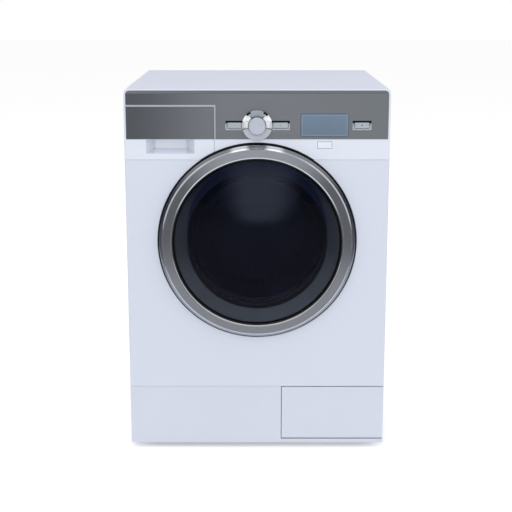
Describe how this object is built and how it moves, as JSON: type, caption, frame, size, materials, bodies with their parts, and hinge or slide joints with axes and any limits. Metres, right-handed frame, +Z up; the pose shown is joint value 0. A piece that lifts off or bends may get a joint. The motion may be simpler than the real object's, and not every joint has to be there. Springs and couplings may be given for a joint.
{
  "type": "front-loading washing machine",
  "caption": "White free-standing front-loading washing machine with a round glazed door, detergent drawer, turning programme knob, press buttons, filter flap and belt-driven drum.",
  "frame": {"origin": "on the floor, below the middle of the machine's box", "axes": "+X to the right as seen from the front, +Y from the front to the rear, +Z up"},
  "size_m": [0.596, 0.637, 0.85],
  "materials": {
    "white_enamel": "smooth white stove enamel on sheet steel",
    "white_worktop": "white melamine skin on particle board",
    "white_plastic": "satin white moulding",
    "fascia_metal": "brushed grey strip with a light top bevel",
    "bezel_silver": "metallised satin silver",
    "button_grey": "satin silver grey",
    "knob_silver": "turned satin face",
    "display_grey": "clear face over a grey blue screen",
    "board_green": "lacquered circuit board",
    "black_plastic": "fine satin grain",
    "ring_chrome": "brushed face between polished bevels",
    "dark_glass": "smoked clear window",
    "clear_glass": "pressed clear bowl",
    "grey_rubber": "soft matt rubber",
    "tub_grey": "filled grey moulding",
    "drum_steel": "stainless sheet",
    "lifter_grey": "grey moulding",
    "cast_weight": "plain casting",
    "plain_steel": "zinc plated",
    "cast_alloy": "as cast",
    "motor_case": "dark lacquer",
    "black_rubber": "moulded rubber",
    "tray_white": "plain white moulding",
    "pump_grey": "dark grey moulding"
  },
  "bodies": {
    "cabinet": {"side_panel_right": "white_enamel", "side_panel_left": "white_enamel", "rear_panel": "white_enamel", "rear_cover": "white_enamel", "rear_cover_screws": "plain_steel", "base_tray": "pump_grey", "feet": "black_rubber", "worktop": "white_worktop", "front_panel": "white_enamel", "door_surround": "black_plastic", "control_panel": "white_plastic", "fascia_plate": "fascia_metal", "control_bezels": "bezel_silver", "display_window": "display_grey", "control_board": "board_green", "dispenser_housing": "tub_grey", "inlet_valve": "tray_white", "inlet_hose": "black_rubber", "fill_bellows": "grey_rubber", "hinge_arm": "plain_steel", "door_lock": "black_plastic", "gasket": "grey_rubber", "suspension_springs": "plain_steel", "damper_cylinders": "pump_grey", "sump_hose": "black_rubber", "drain_pump": "pump_grey", "drain_hose": "black_rubber", "cord_gland": "black_rubber", "kick_plate": "white_plastic"},
    "door": {"door_ring": "ring_chrome", "door_frame": "black_plastic", "door_window": "dark_glass", "door_bowl": "clear_glass", "door_back_ring": "black_plastic", "hinge_pin": "plain_steel"},
    "latch": {"latch_hook": "plain_steel"},
    "drawer": {"drawer_front": "white_plastic", "drawer_fascia": "fascia_metal", "drawer_tray": "tray_white"},
    "knob": {"program_knob": "knob_silver"},
    "left_button": {"left_button": "button_grey"},
    "right_button": {"right_button": "button_grey"},
    "start_button": {"start_button": "button_grey"},
    "flap": {"filter_flap": "white_plastic"},
    "filter": {"pump_filter": "tray_white"},
    "tub": {"tub_front": "tub_grey", "tub_rear": "tub_grey", "counterweights": "cast_weight", "heater": "plain_steel", "motor": "motor_case", "drive_belt": "black_rubber", "shaft_bearings": "plain_steel", "damper_rods": "plain_steel"},
    "drum": {"drum_front_ring": "drum_steel", "drum_wrapper": "drum_steel", "drum_back": "drum_steel", "drum_lifters": "lifter_grey", "drum_spider": "cast_alloy", "drum_pulley": "cast_alloy"},
    "rotor": {"motor_rotor": "plain_steel"}
  },
  "joints": [
    {"name": "door_hinge", "type": "hinge", "parent": "cabinet", "child": "door", "pos_m": [-0.212, -0.295, 0.504], "axis": [0, 0, -1], "range_deg": [0, 120]},
    {"name": "latch_pivot", "type": "hinge", "parent": "door", "child": "latch", "pos_m": [0.197, -0.28325, 0.504], "axis": [0, 0, 1], "range_deg": [-5, 5], "stiffness_Nm_per_rad": 0.5},
    {"name": "drawer_slide", "type": "slide", "parent": "cabinet", "child": "drawer", "axis": [0, -1, 0], "range_m": [0, 0.21]},
    {"name": "knob_turn", "type": "hinge", "parent": "cabinet", "child": "knob", "pos_m": [0, -0.2885, 0.771], "axis": [0, -1, 0], "continuous": true},
    {"name": "left_button_press", "type": "slide", "parent": "cabinet", "child": "left_button", "axis": [0, 1, 0], "range_m": [0, 0.0015], "stiffness_N_per_m": 400},
    {"name": "right_button_press", "type": "slide", "parent": "cabinet", "child": "right_button", "axis": [0, 1, 0], "range_m": [0, 0.0015], "stiffness_N_per_m": 400},
    {"name": "start_button_press", "type": "slide", "parent": "cabinet", "child": "start_button", "axis": [0, 1, 0], "range_m": [0, 0.0015], "stiffness_N_per_m": 400},
    {"name": "flap_hinge", "type": "hinge", "parent": "cabinet", "child": "flap", "pos_m": [0.17, -0.2823, 0.031], "axis": [1, 0, 0], "range_deg": [0, 85]},
    {"name": "filter_turn", "type": "hinge", "parent": "cabinet", "child": "filter", "pos_m": [0.19, -0.2585, 0.092], "axis": [0, -1, 0], "range_deg": [0, 180]},
    {"name": "tub_bounce", "type": "slide", "parent": "cabinet", "child": "tub", "axis": [0, 0, 1], "range_m": [-0.01, 0.01], "stiffness_N_per_m": 8000, "springref_m": 0.05086, "deforming": ["gasket", "suspension_springs", "fill_bellows", "sump_hose"]},
    {"name": "drum_spin", "type": "hinge", "parent": "tub", "child": "drum", "pos_m": [0, -0.0385, 0.504], "axis": [0, 1, 0], "continuous": true},
    {"name": "rotor_spin", "type": "hinge", "parent": "tub", "child": "rotor", "pos_m": [-0.095, 0.2115, 0.154], "axis": [0, 1, 0], "continuous": true}
  ],
  "couplings": [
    {"joint": "rotor_spin", "follows": "drum_spin", "ratio": 11.667}
  ]
}
